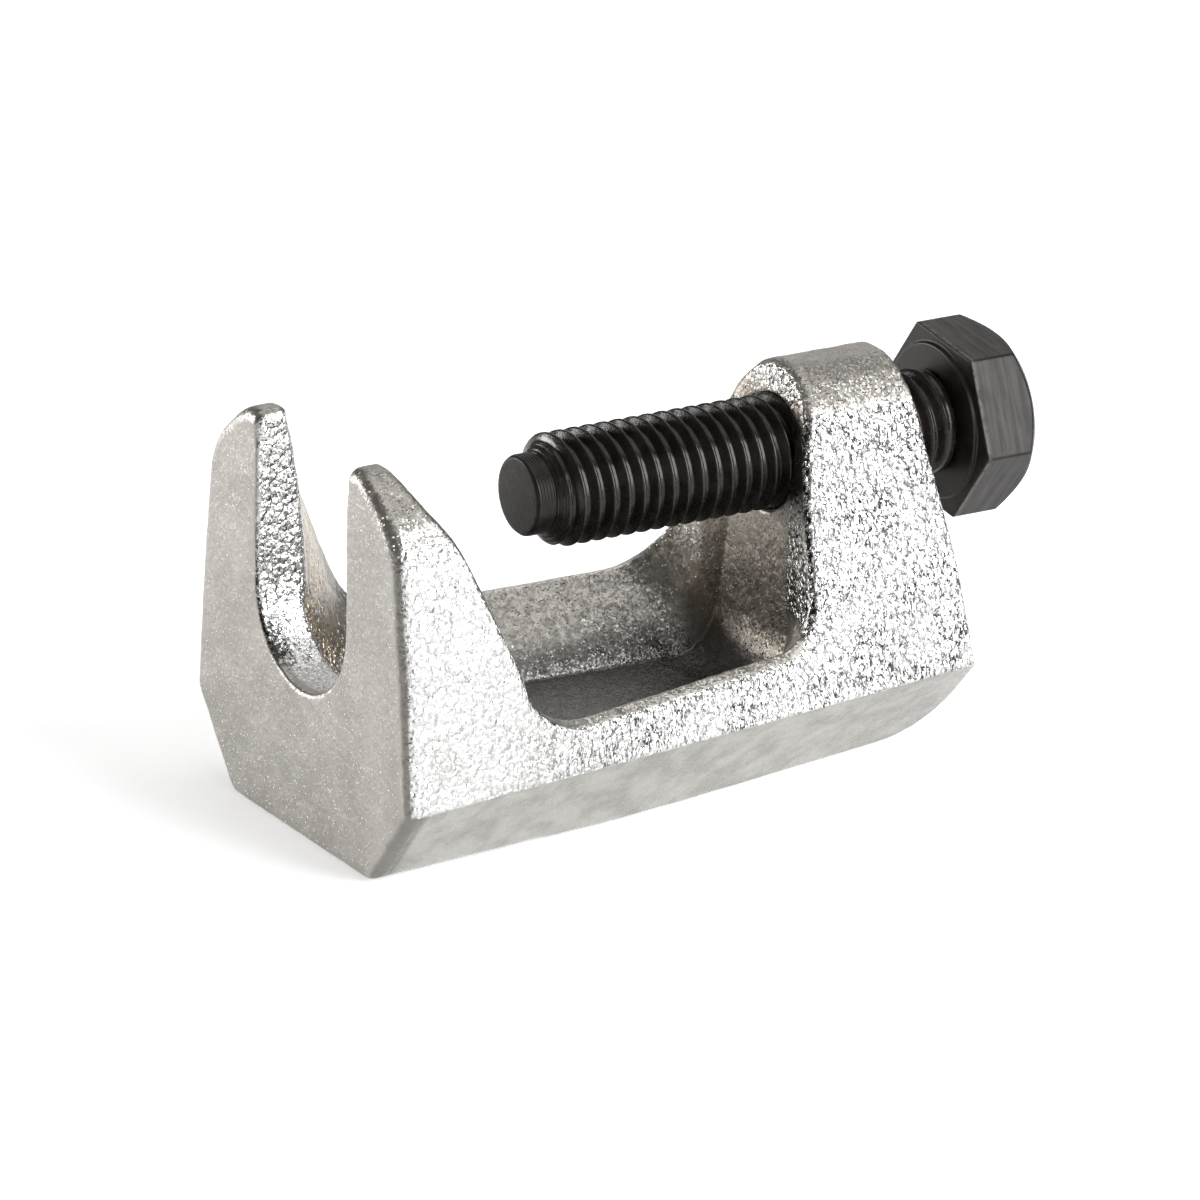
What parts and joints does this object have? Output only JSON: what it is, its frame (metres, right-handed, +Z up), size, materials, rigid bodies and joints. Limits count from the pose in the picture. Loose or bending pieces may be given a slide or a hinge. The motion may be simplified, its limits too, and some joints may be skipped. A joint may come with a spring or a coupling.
{
  "type": "ball joint separator",
  "caption": "Screw-type ball joint separator: forged C-frame with a forked jaw and a hex-headed forcing screw with a dog point.",
  "frame": {"origin": "on the flat underside, midway between the fork's front face and the screw head's end face, in the plane of symmetry", "axes": "+X along the forcing screw from the fork to the screw head, +Z up from the underside to the fork tips, +Y across the fork so that X, Y and Z are right-handed"},
  "size_m": [0.0826, 0.0444, 0.0426],
  "materials": {
    "forged_frame": "bright zinc plating on a shot-blasted forging",
    "black_screw": "black oxide with bare metal rubbed through on the thread crests",
    "black_dog_point": "black oxide over turning marks"
  },
  "bodies": {
    "frame": {"c_frame": "forged_frame"},
    "screw_tip": {"screw_dog_point": "black_dog_point"},
    "screw": {"forcing_screw": "black_screw"}
  },
  "joints": [
    {"name": "screw_advance", "type": "slide", "parent": "frame", "child": "screw_tip", "axis": [-1, 0, 0], "range_m": [-0.027, 0.0036]},
    {"name": "screw_turn", "type": "hinge", "parent": "screw_tip", "child": "screw", "pos_m": [0, 0, 0.0324], "axis": [-1, 0, 0], "range_deg": [-5555, 741]}
  ],
  "couplings": [
    {"joint": "screw_turn", "follows": "screw_advance", "rad_per_m": 3590.4}
  ]
}
